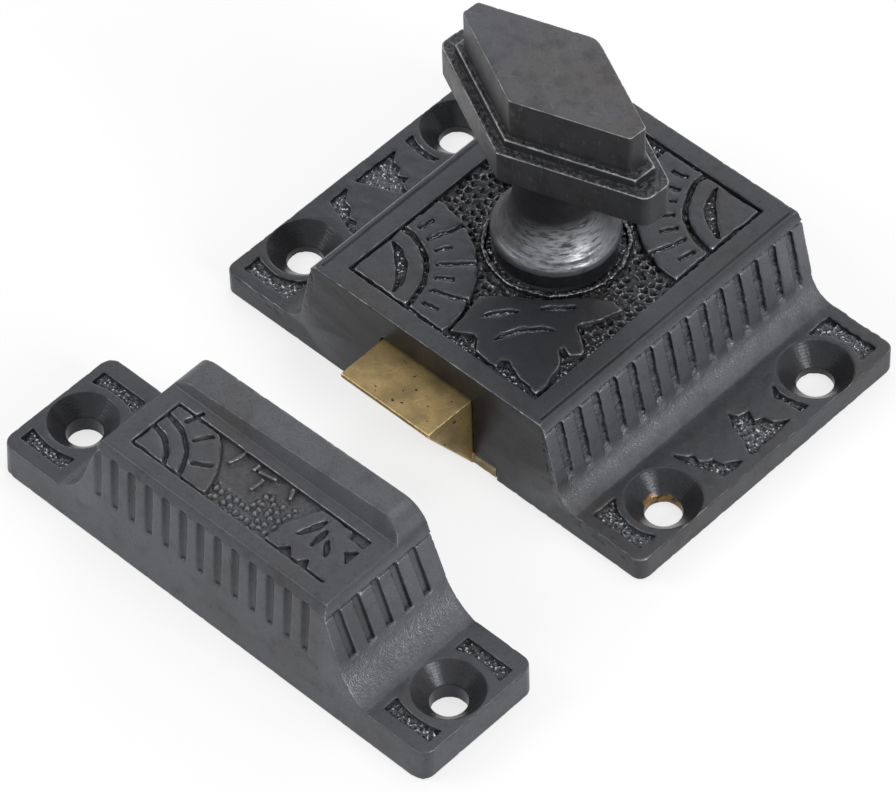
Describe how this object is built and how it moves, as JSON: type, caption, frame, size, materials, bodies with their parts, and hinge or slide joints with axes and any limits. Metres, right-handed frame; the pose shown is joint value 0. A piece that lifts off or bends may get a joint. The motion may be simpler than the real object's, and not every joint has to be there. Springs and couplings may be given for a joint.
{
  "type": "cupboard latch",
  "caption": "Cast-iron cupboard latch: a diamond turn knob draws a sprung, bevelled brass bolt out of a separate fluted keeper, both screwed on through countersunk ears.",
  "frame": {"origin": "middle of the latch plate's back face, on the knob's axis, in the middle of the four screw holes", "axes": "X along the face that the bolt comes out of, Y from the bolt towards the back of the latch, Z out of the door"},
  "size_m": [0.0612, 0.0733, 0.0395],
  "materials": {
    "blackened_iron": "oiled, blackened casting with ground faces",
    "ground_iron": "blackened casting, head ground and foot turned bright",
    "bolt_brass": "dull, pitted and scratched",
    "plain_steel": "plain, slightly tarnished"
  },
  "bodies": {
    "case": {"latch_case": "blackened_iron", "back_cover": "plain_steel", "cover_screws": "plain_steel", "bolt_spring": "plain_steel", "keeper": "blackened_iron"},
    "knob": {"latch_knob": "ground_iron", "throw_cam": "plain_steel"},
    "bolt": {"latch_bolt": "bolt_brass"}
  },
  "joints": [
    {"name": "knob_turn", "type": "hinge", "parent": "case", "child": "knob", "pos_m": [0, 0, 0], "axis": [0, 0, 1], "range_deg": [0, 57], "stiffness_Nm_per_rad": 0.018, "springref_deg": -57.3},
    {"name": "bolt_slide", "type": "slide", "parent": "case", "child": "bolt", "axis": [0, 1, 0], "range_m": [0, 0.00596], "deforming": ["bolt_spring"]}
  ],
  "couplings": [
    {"joint": "knob_turn", "follows": "bolt_slide", "rad_per_m": 166.67}
  ]
}
